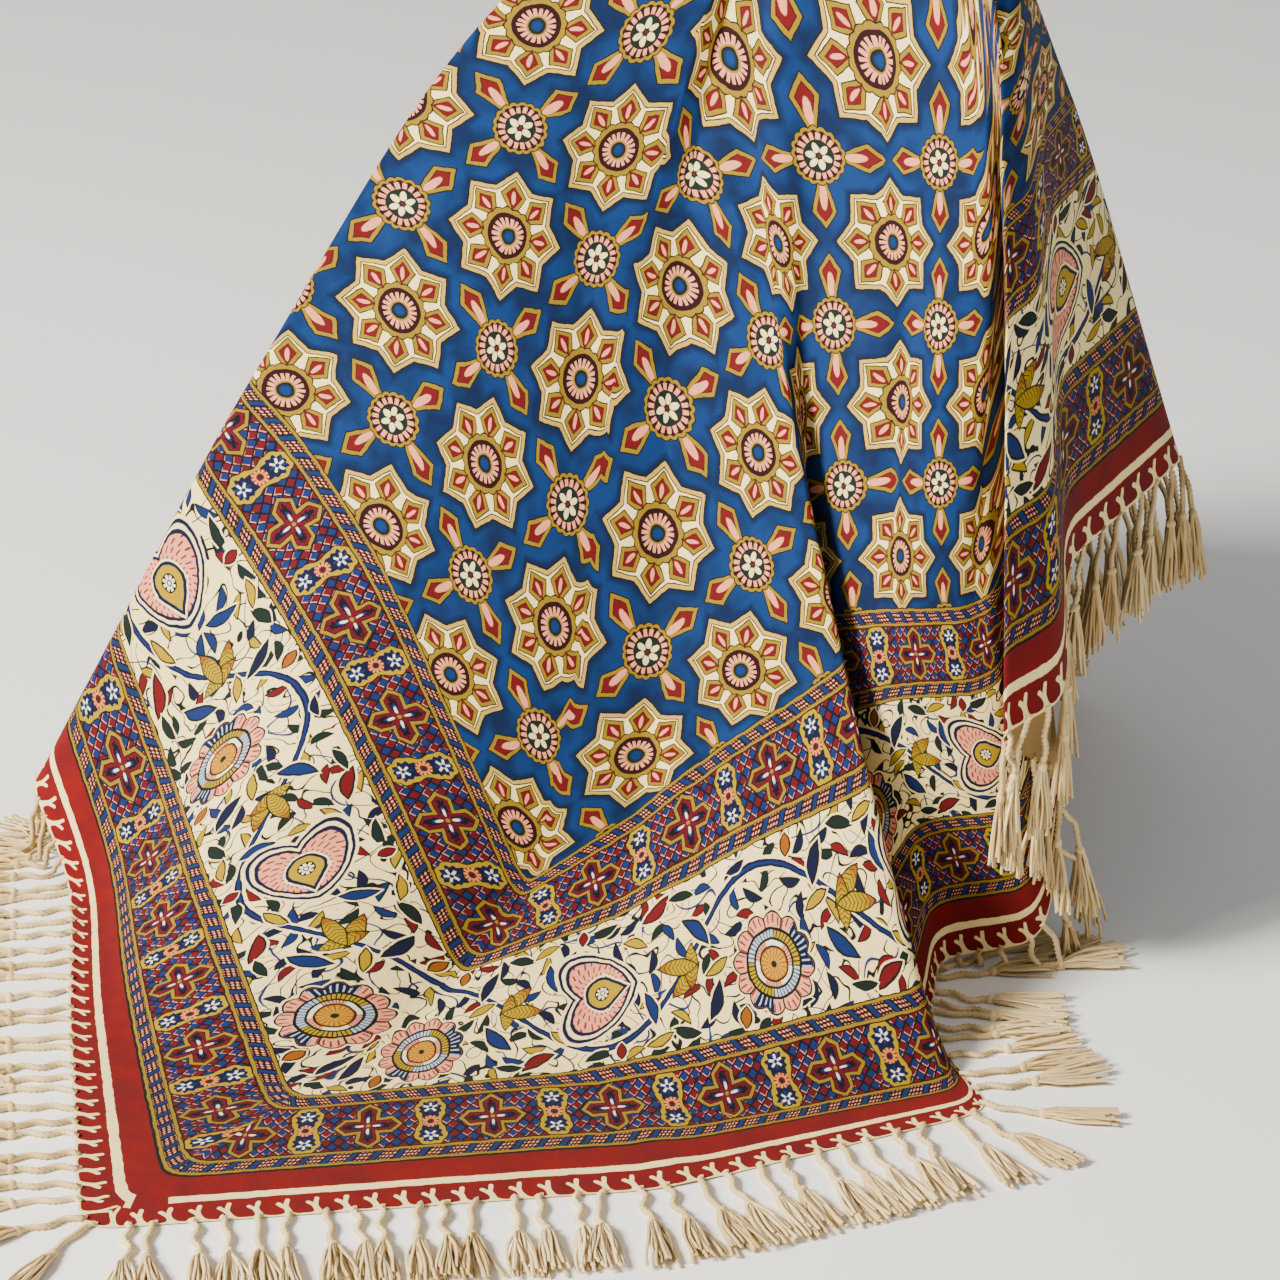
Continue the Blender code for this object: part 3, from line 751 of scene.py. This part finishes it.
def flower_band():
    across = depth - FLOWER_MIDDLE
    x = repeat(along, FLOWER_PITCH, ROSE_FIRST)
    x_off = abs(x)
    way = work("SIGN", x)
    turned_across = across * way

    # Thin stems and small scattered leaves fill the ground.
    colour = lay(CREAM, LINE, inside(cell(cloud(0.33, 1.5) * 9.0), 0.06, 0.03))
    colour = lay(colour, MID_BLUE, inside(cell(cloud(0.16, 1.0) * 7.0), 0.026, 0.02))
    cells = add_node(ink, "ShaderNodeTexVoronoi", voronoi_dimensions="2D")
    cells.inputs["Scale"].default_value = 0.68
    cells.inputs["Randomness"].default_value = 0.75
    ink.links.new(in_cm.outputs[0], cells.inputs["Vector"])
    tint = add_node(ink, "ShaderNodeSeparateColor")
    ink.links.new(cells.outputs["Color"], tint.inputs[0])
    local = add_node(ink, "ShaderNodeVectorMath", operation="SUBTRACT")
    ink.links.new(in_cm.outputs[0], local.inputs[0])
    ink.links.new(cells.outputs["Position"], local.inputs[1])
    spin = add_node(ink, "ShaderNodeVectorRotate", rotation_type="Z_AXIS")
    ink.links.new(local.outputs[0], spin.inputs["Vector"])
    join(Value(tint.outputs[0]) * 6.28, spin.inputs["Angle"])
    parts = add_node(ink, "ShaderNodeSeparateXYZ")
    ink.links.new(spin.outputs[0], parts.inputs[0])
    lx = Value(parts.outputs[0]) / SMALL_LEAF_HALF_LONG
    ly = Value(parts.outputs[1]) / SMALL_LEAF_HALF_WIDE
    square = lx * lx
    small_leaf = abs(work("MULTIPLY_ADD", square, 0.8, ly)) + square - 1.0
    leaf_colour = NAVY
    for dye, above in ((MID_BLUE, 0.28), (DEEP_GREEN, 0.48), (RED, 0.66), (MUSTARD, 0.82)):
        leaf_colour = lay(leaf_colour, dye, work("GREATER_THAN", Value(tint.outputs[1]), above))
    colour = lay_all(colour, small_leaf, ((LINE, 0.5, 0.25), (leaf_colour, 0.0, 0.25)))

    # The blue stem waves over each rose and under each heart.
    wave = work("COSINE", along * (2 * math.pi / FLOWER_PITCH) - ROSE_FIRST * 2 * math.pi / FLOWER_PITCH)
    stem = abs(work("MULTIPLY_ADD", wave, -STEM_SWING, across))
    colour = lay_all(colour, stem, ((CREAM, 0.42), (NAVY, 0.22), (MID_BLUE, 0.08)))

    for _, *sizes, dye in LEAVES:
        colour = lay_all(colour, leaf_shape(x_off, turned_across, *sizes),
                         ((CREAM, 0.62, 0.12), (LINE, 0.26, 0.12), (dye, -0.10, 0.12)))

    # Ribbed three-part leaves between rose and heart.
    for at_x, at_y, turn in RIBBED_LEAVES:
        fx, fy = turned(x_off, turned_across, at_x, at_y, turn, RIBBED_HALF_LONG, RIBBED_HALF_WIDE)
        shape = abs(fy) + fx * fx - 1.0
        rib = cell(fx * 5.0 + abs(fy) * 1.2)
        body = lay(MUSTARD, OCHRE, inside(0.75 - fx, 0.2, 0.6))
        colour = lay_all(colour, shape, ((LINE, 0.14, 0.1), (body, -0.06, 0.1)))
        colour = lay(colour, LINE, inside(rib, 0.10, 0.06) * inside(shape, -0.1, 0.1))

    # Hearts: pink scales in a double blue outline, round a mustard drop with a small flower.
    heart_x = (x - FLOWER_PITCH / 2 * way) * (is_end * 2.0 - 1.0)
    heart_y = abs(across)
    lobe_x, lobe_y = turned(heart_x, heart_y, -0.10, 0.68, -36)
    heart = oval(lobe_x, lobe_y, 0.0, 2.30, 1.30)
    colour = lay_all(colour, heart, ((CREAM, 0.62), (NAVY, 0.46), (CREAM, 0.30), (NAVY, 0.14)))
    turn, reach = polar(heart_x, heart_y)
    scales = work("FRACT", reach * 1.9)
    rays = abs(work("SINE", turn * 14.0 + scales * 1.6))
    hatch = inside(rays, 0.42, 0.3) * inside(scales, 0.74, 0.2)
    colour = lay(colour, lay(PINK, ROSE_RED, hatch), inside(heart, -0.02))
    point = high(slant(heart_x, heart_y, 0.6, 0.8, -0.9), 0.54 - heart_x)
    drop = low(reach - 0.9, point)
    colour = lay_all(colour, drop, ((CREAM, 0.34), (NAVY, 0.22), (MUSTARD, 0.02)))
    colour = lay(colour, LINE, inside(reach, 0.50))
    colour = lay(colour, PALE, inside(petal_ring(turn, reach, math.pi / 8, 0.08, 0.30, 0.12)))
    colour = lay(colour, PALE, inside(reach, 0.10))

    # Roses: rings of petals, pink outside, hatched blue and dotted mustard within, a spoked ochre heart.
    turn, reach = polar(x, across - ROSE_SHIFT)
    scallop = scalloped(turn, reach, 6, 0.36)
    side = work("GREATER_THAN", work("SINE", turn * 2 + 0.6), 0.0)
    other = work("GREATER_THAN", work("SINE", turn * 3 + 1.0), 0.0)
    hatch = inside(abs(work("SINE", turn * 22)), 0.45, 0.3)
    seam = inside(abs(work("SINE", turn * 6)), 0.16, 0.1)
    colour = lay_all(colour, scallop, ((CREAM, 2.60), (DEEP_GREEN, 2.46), (PINK, 2.34)))
    colour = lay(colour, ROSE_RED, hatch * inside(abs(scallop - 2.05), 0.24))
    colour = lay(colour, DEEP_GREEN, seam * inside(scallop, 2.4))
    colour = lay(colour, lay(colour, NAVY, inside(scallop, 2.34)), side * other)
    colour = lay(colour, PALE_BLUE, side * other * hatch * inside(scallop, 2.22))
    colour = lay(colour, LINE, inside(reach, 1.92))
    ring = lay(lay(PALE_BLUE, MUSTARD, side), lay(NAVY, LINE, side), hatch)
    inner_ring = lay(PALE, lay(PINK, ROSE_RED, hatch), other)
    colour = lay_all(colour, reach, ((ring, 1.76), (DEEP_GREEN, 1.38), (inner_ring, 1.24), (LINE, 1.0),
                                     (OCHRE, 0.90)))
    spoke = abs(work("SINE", turn * 9 + reach * 1.4))
    colour = lay(colour, SPOKE_GOLD, inside(0.45 - spoke, 0.0, 0.3) * inside(reach, 0.84))
    return lay(colour, DEEP_GREEN, inside(reach, 0.20))


# The edge: plain red with a cream line, and cream hooks that rise from the unprinted selvedge.
HOOK_PITCH = 1.56
EDGE_LINE, EDGE_LINE_HALF = 2.25, 0.28
SIDE_LINE_START, END_LINE_START = 1.6, 4.7


def strip(x, y, x0, y0, x1, y1, half):
    """How far a point is outside a round-ended strip from one place to the other."""
    length = math.hypot(x1 - x0, y1 - y0)
    cx, cy = (x1 - x0) / length, (y1 - y0) / length
    run = slant(x, y, cx, cy, -cx * x0 - cy * y0)
    off = slant(x, y, -cy, cx, cy * x0 - cx * y0)
    beyond = abs(run - length / 2) - length / 2
    return size(high(beyond, 0.0), off) - half


def edge_band():
    x = repeat(along, HOOK_PITCH)
    y = depth
    stem = strip(x, y, 0.22, 0.0, 0.0, 0.82, 0.17)
    left = strip(x, y, -0.02, 0.80, -0.36, 1.16, 0.14)
    right = strip(x, y, 0.0, 0.80, 0.14, 1.48, 0.13)
    hook = work("SMOOTH_MIN", work("SMOOTH_MIN", stem, low(left, right), 0.12), y - 0.14, 0.6)
    red = lay(EDGE_RED, RED, inside(cloud(0.5, 3.0), 0.5, 0.3))
    colour = lay(red, CREAM, inside(hook))
    side_line = high(abs(from_side - EDGE_LINE) - EDGE_LINE_HALF, SIDE_LINE_START - from_end)
    end_line = high(abs(from_end - EDGE_LINE) - EDGE_LINE_HALF, END_LINE_START - from_side)
    colour = lay(colour, CREAM, inside(low(side_line, end_line)))
    return lay(colour, LINE, inside(EDGE_BAND - 0.09 - y))


# The plain weave: fine ribs both ways.
RIB_SCALE, RIB_WAVER, RIB_HEIGHT = 4.4, 0.3, 0.0003


def ribs(direction):
    """The threads that lie side by side along one direction."""
    wave = add_node(ink, "ShaderNodeTexWave", wave_type="BANDS", bands_direction=direction)
    wave.inputs["Scale"].default_value = RIB_SCALE
    wave.inputs["Distortion"].default_value = RIB_WAVER
    ink.links.new(in_cm.outputs[0], wave.inputs["Vector"])
    return Value(wave.outputs["Fac"])


relief = add_node(ink, "ShaderNodeBump")
relief.inputs["Strength"].default_value = 0.25
relief.inputs["Distance"].default_value = RIB_HEIGHT
join(ribs("X") + ribs("Y"), relief.inputs["Height"])

# The ink takes unevenly: darker patches a few centimetres wide, and fine specks on the threads.
uneven = work("MULTIPLY_ADD", cloud(0.22, 3.0), 0.5, cloud(9.0, 1.0) * 0.7)


def cotton(colour):
    """A matt cotton shader of that colour, inked unevenly, with the weave as a fine relief."""
    colour = lay(colour, LINE, inside(0.78 - uneven, 0.0, 0.6) * 0.4)
    shader = add_node(ink, "ShaderNodeBsdfPrincipled")
    shader.inputs["Roughness"].default_value = 0.88
    shader.inputs["Specular IOR Level"].default_value = 0.12
    shader.inputs["Sheen Weight"].default_value = 0.03
    shader.inputs["Sheen Roughness"].default_value = 0.5
    ink.links.new(colour, shader.inputs["Base Color"])
    ink.links.new(relief.outputs[0], shader.inputs["Normal"])
    return shader.outputs[0]


def choose(first, second, share):
    node = add_node(ink, "ShaderNodeMixShader")
    join(share, node.inputs[0])
    ink.links.new(first, node.inputs[1])
    ink.links.new(second, node.inputs[2])
    return node.outputs[0]


in_field = work("GREATER_THAN", depth, INNER_BAND)
in_edge = work("LESS_THAN", depth, EDGE_BAND)
in_flowers = work("LESS_THAN", abs(depth - FLOWER_MIDDLE), (FLOWER_BAND - OUTER_BAND) / 2)
face = choose(cotton(small_band()), cotton(star_field()), in_field)
face = choose(face, cotton(flower_band()), in_flowers)
face = choose(face, cotton(edge_band()), in_edge)
side_seen = add_node(ink, "ShaderNodeNewGeometry")
face = choose(face, cotton(REVERSE), Value(side_seen.outputs["Backfacing"]))
out = add_node(ink, "ShaderNodeOutputMaterial")
ink.links.new(face, out.inputs["Surface"])

cloth_mesh.materials.append(print_paint)
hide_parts("cloth")
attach(cloth, "root")


# The fringe.
# The yarn ends of each side are twisted in bunches into short three-ply cords, tied off with a knot,
# and left as loose tassels below it.

CORD_PITCH = 0.0172
CORD_HALF = 0.0022
CORD_LENGTH = 0.034
CORD_TWIST = 0.0085
CORD_PIECES = 12
CORD_START = 0.002
PLY_GROOVE = 0.72
KNOT_HALF = 0.0029
KNOT_SHAPE = (1.0, 0.85, 1.15)
TASSEL_LENGTH = 0.041
TASSEL_THREADS = 22
THREAD_HALF = 0.00105
THREAD_PIECES = 6
FRINGE_SEED = 3

# How the cords turn from the edge's own direction: a slow sway round the hem, a chance part, and a
# lean along each of the four sides. Tassels spread wider where they lie on the floor.
SWAY, SWAY_RATE, SCATTER = 0.35, 11.0, 0.45
LEAN_ALONG = (-0.45, 0.0, 0.0, 0.1)
SPREAD_LYING, SPREAD_HANGING, HANGING_ABOVE = (0.32, 0.6), (0.22, 0.4), 0.02
OUTWARD = 0.25
WAVE_STEP = 0.9
DARK_YARN = paint("C4A266")
PALE_YARN = paint("FAE2AC")
rng = random.Random(7)

fringe_paint = bpy.data.materials.new("fringe cotton")
fringe_paint.use_nodes = True
yarn = fringe_paint.node_tree
yarn_shader = yarn.nodes["Principled BSDF"]
yarn_shader.inputs["Roughness"].default_value = 0.9
yarn_shader.inputs["Specular IOR Level"].default_value = 0.2
yarn_shader.inputs["Sheen Weight"].default_value = 0.1
tone = add_node(yarn, "ShaderNodeAttribute", attribute_name="tone")
shades = add_node(yarn, "ShaderNodeMix", data_type="RGBA")
colour_socket(shades.inputs, "A").default_value = DARK_YARN
colour_socket(shades.inputs, "B").default_value = PALE_YARN
yarn.links.new(tone.outputs["Fac"], shades.inputs["Factor"])
yarn.links.new(colour_socket(shades.outputs, "Result"), yarn_shader.inputs["Base Color"])


def fringe_tree():
    """Sweeps each cord and thread along its line, and ties a knot at each cord's end."""
    tree = bpy.data.node_groups.new("cords and tassels", "GeometryNodeTree")
    panel = tree.interface
    panel.new_socket("Lines", in_out="INPUT", socket_type="NodeSocketGeometry")
    for name, value in (("Cord half width", CORD_HALF), ("Thread half width", THREAD_HALF),
                        ("Knot half width", KNOT_HALF)):
        panel.new_socket(name, in_out="INPUT", socket_type="NodeSocketFloat").default_value = value
    panel.new_socket("Seed", in_out="INPUT", socket_type="NodeSocketInt").default_value = FRINGE_SEED
    panel.new_socket("Yarn", in_out="INPUT", socket_type="NodeSocketMaterial")
    panel.new_socket("Fringe", in_out="OUTPUT", socket_type="NodeSocketGeometry")

    def add(kind, **settings):
        return add_node(tree, kind, **settings)

    def link(a, b):
        tree.links.new(a, b)

    def named(name, kind="FLOAT"):
        node = add("GeometryNodeInputNamedAttribute", data_type=kind)
        node.inputs["Name"].default_value = name
        return node.outputs["Attribute"]

    start = add("NodeGroupInput")
    end = add("NodeGroupOutput")
    gather = add("GeometryNodeJoinGeometry")
    pick = add("GeometryNodeSeparateGeometry", domain="EDGE")
    link(start.outputs["Lines"], pick.inputs["Geometry"])
    link(named("is_cord"), pick.inputs["Selection"])

    # A cord shows its three plies; a thread is one thin three-sided strand.
    plies = add("GeometryNodeCurveStar")
    plies.inputs["Points"].default_value = 3
    link(start.outputs["Cord half width"], plies.inputs["Outer Radius"])
    groove = add("ShaderNodeMath", operation="MULTIPLY")
    link(start.outputs["Cord half width"], groove.inputs[0])
    groove.inputs[1].default_value = PLY_GROOVE
    link(groove.outputs[0], plies.inputs["Inner Radius"])
    strand = add("GeometryNodeCurvePrimitiveCircle")
    strand.inputs["Resolution"].default_value = 3
    link(start.outputs["Thread half width"], strand.inputs["Radius"])
    for picked, section in ((pick.outputs["Selection"], plies), (pick.outputs["Inverted"], strand)):
        line = add("GeometryNodeMeshToCurve")
        link(picked, line.inputs["Mesh"])
        tilt = add("GeometryNodeSetCurveTilt")
        link(line.outputs[0], tilt.inputs["Curve"])
        link(named("twist"), tilt.inputs["Tilt"])
        sweep = add("GeometryNodeCurveToMesh")
        link(tilt.outputs[0], sweep.inputs["Curve"])
        link(section.outputs[0], sweep.inputs["Profile Curve"])
        sweep.inputs["Fill Caps"].default_value = True
        link(sweep.outputs[0], gather.inputs[0])

    # Knots, each turned by chance so that no two look alike.
    spots = add("GeometryNodeMeshToPoints")
    link(start.outputs["Lines"], spots.inputs["Mesh"])
    link(named("is_knot"), spots.inputs["Selection"])
    ball = add("GeometryNodeMeshIcoSphere")
    ball.inputs["Subdivisions"].default_value = 2
    link(start.outputs["Knot half width"], ball.inputs["Radius"])
    spin = add("FunctionNodeRandomValue", data_type="FLOAT_VECTOR")
    spin.inputs[0].default_value = (0, 0, 0)
    spin.inputs[1].default_value = (6.2, 6.2, 6.2)
    link(start.outputs["Seed"], spin.inputs["Seed"])
    tie = add("GeometryNodeInstanceOnPoints")
    link(spots.outputs[0], tie.inputs["Points"])
    link(ball.outputs["Mesh"], tie.inputs["Instance"])
    link(spin.outputs[0], tie.inputs["Rotation"])
    tie.inputs["Scale"].default_value = KNOT_SHAPE
    link(tie.outputs[0], gather.inputs[0])
    real = add("GeometryNodeRealizeInstances")
    link(gather.outputs[0], real.inputs[0])
    smooth = add("GeometryNodeSetShadeSmooth")
    link(real.outputs[0], smooth.inputs[0])
    dye = add("GeometryNodeSetMaterial")
    link(smooth.outputs[0], dye.inputs[0])
    link(start.outputs["Yarn"], dye.inputs["Material"])
    link(dye.outputs[0], end.inputs[0])
    return tree


cords_tree = fringe_tree()


def unit(way):
    return way / np.linalg.norm(way)


def fall(place, heading, pieces, step, pull, half, out):
    """Points of a yarn that leaves a place along a heading, bends downwards and settles on the floor."""
    path = [place]
    for _ in range(pieces):
        heading = unit(heading * (1 - pull) + np.array([0, 0, -1.0]) * pull)
        end = path[-1] + heading * step
        if end[2] < half:
            flat = np.array([heading[0], heading[1], 0.0]) + out * OUTWARD
            flat[2] = 0.0
            flat /= max(np.linalg.norm(flat), 1e-6)
            drop = min(max(path[-1][2] - half, 0.0), step)
            end = path[-1] + flat * math.sqrt(step * step - drop * drop)
            end[2] = max(path[-1][2] - drop, half)
            heading = flat
        path.append(end)
    return path, heading


def wavy(path, way, bend_by, first):
    """The same path with its points set a little to either side in turn."""
    return [path[0]] + [place + way * bend_by * math.sin(first + WAVE_STEP * n)
                        for n, place in enumerate(path[1:], 1)]


hem_places = sheet_points[-1]
hem_inner = sheet_points[-3]
start_at = FOLDS[0][1]
names = ("front_fringe", "right_fringe", "back_fringe", "left_fringe")
for side_number, (node_name, lean_along) in enumerate(zip(names, LEAN_ALONG)):
    points, edges, cord_flag, knot_flag, twist, tones = [], [], [], [], [], []

    def add_line(path, is_cord, turns, line_tone):
        base = len(points)
        for k, place in enumerate(path):
            points.append(tuple(place))
            twist.append(turns * k)
            knot_flag.append(False)
            tones.append(line_tone)
        for k in range(len(path) - 1):
            edges.append((base + k, base + k + 1))
            cord_flag.append(is_cord)

    count = int(SIDE / CORD_PITCH)
    for k in range(count):
        at = side_number * SIDE + (k + 0.5) * SIDE / count + rng.uniform(-0.0015, 0.0015)
        i = int(((at - start_at) / (4 * SIDE) * AROUND) % AROUND)
        root = hem_places[i]
        ahead = unit(hem_places[(i + 2) % AROUND] - hem_places[i - 2])
        out = root - hem_inner[i]
        out = unit(out - ahead * (out @ ahead))
        sway = SWAY * math.sin(at * SWAY_RATE + side_number)
        heading = unit(out + ahead * (sway + rng.uniform(-SCATTER, SCATTER) + lean_along))
        pull = rng.uniform(0.10, 0.16)
        path, heading = fall(root - out * CORD_START, heading, CORD_PIECES, CORD_LENGTH / CORD_PIECES,
                             pull, CORD_HALF, out)
        path = wavy(path, ahead, rng.uniform(0.0006, 0.0020), rng.uniform(0, 2 * math.pi))
        shade = rng.uniform(0.25, 0.75)
        add_line(path, True, 2 * math.pi * CORD_LENGTH / CORD_PIECES / CORD_TWIST, shade)

        # The knot sits just past the cord's last point.
        knot = path[-1] + heading * KNOT_HALF * 0.6
        knot[2] = max(knot[2], KNOT_HALF * KNOT_SHAPE[1])
        knot_flag[len(points) - 1] = True
        points[len(points) - 1] = tuple(knot)
        spread = rng.uniform(*(SPREAD_LYING if knot[2] < HANGING_ABOVE else SPREAD_HANGING))
        side_way = np.cross(heading, np.array([0, 0, 1.0]))
        is_upright = np.linalg.norm(side_way) <= 0.1
        side_way = ahead if is_upright else unit(side_way)
        other_way = np.cross(side_way, heading)
        for _ in range(TASSEL_THREADS):
            turn = rng.uniform(0, 2 * math.pi)
            away = spread * math.sqrt(rng.random())
            off_middle = side_way * math.cos(turn) + other_way * math.sin(turn)
            thread_way = unit(heading + off_middle * away)
            wave, bend_by = rng.uniform(0, 2 * math.pi), rng.uniform(0.0004, 0.0014)
            begin = knot + off_middle * KNOT_HALF * 0.45
            begin[2] = max(begin[2], THREAD_HALF)
            length = TASSEL_LENGTH * rng.uniform(0.75, 1.05)
            path, _ = fall(begin, thread_way, THREAD_PIECES, length / THREAD_PIECES,
                           rng.uniform(0.1, 0.2), THREAD_HALF * rng.uniform(1.0, 5.0), out)
            path = wavy(path, side_way, bend_by, wave)
            add_line(path, False, 0.0, min(max(shade + rng.uniform(-0.25, 0.25), 0), 1))

    lines = bpy.data.meshes.new(node_name + " lines")
    lines.from_pydata(points, edges, [])
    for name, kind, domain, values in (("twist", "FLOAT", "POINT", twist),
                                       ("tone", "FLOAT", "POINT", tones),
                                       ("is_knot", "BOOLEAN", "POINT", knot_flag),
                                       ("is_cord", "BOOLEAN", "EDGE", cord_flag)):
        lines.attributes.new(name, kind, domain).data.foreach_set("value", values)
    holder = placed(node_name + "_lines", lines)
    modifier = holder.modifiers.new("fringe", "NODES")
    modifier.node_group = cords_tree
    for item in cords_tree.interface.items_tree:
        if item.in_out == "INPUT" and item.name == "Seed":
            modifier[item.identifier] = FRINGE_SEED + side_number
        if item.in_out == "INPUT" and item.name == "Yarn":
            modifier[item.identifier] = fringe_paint
    bpy.context.view_layer.update()
    made = bpy.data.meshes.new_from_object(holder.evaluated_get(bpy.context.evaluated_depsgraph_get()))
    bpy.data.objects.remove(holder, do_unlink=True)
    made.materials.clear()
    made.materials.append(fringe_paint)
    fringe = placed(node_name + "_cords", made)
    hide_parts(node_name)
    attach(fringe, "root")
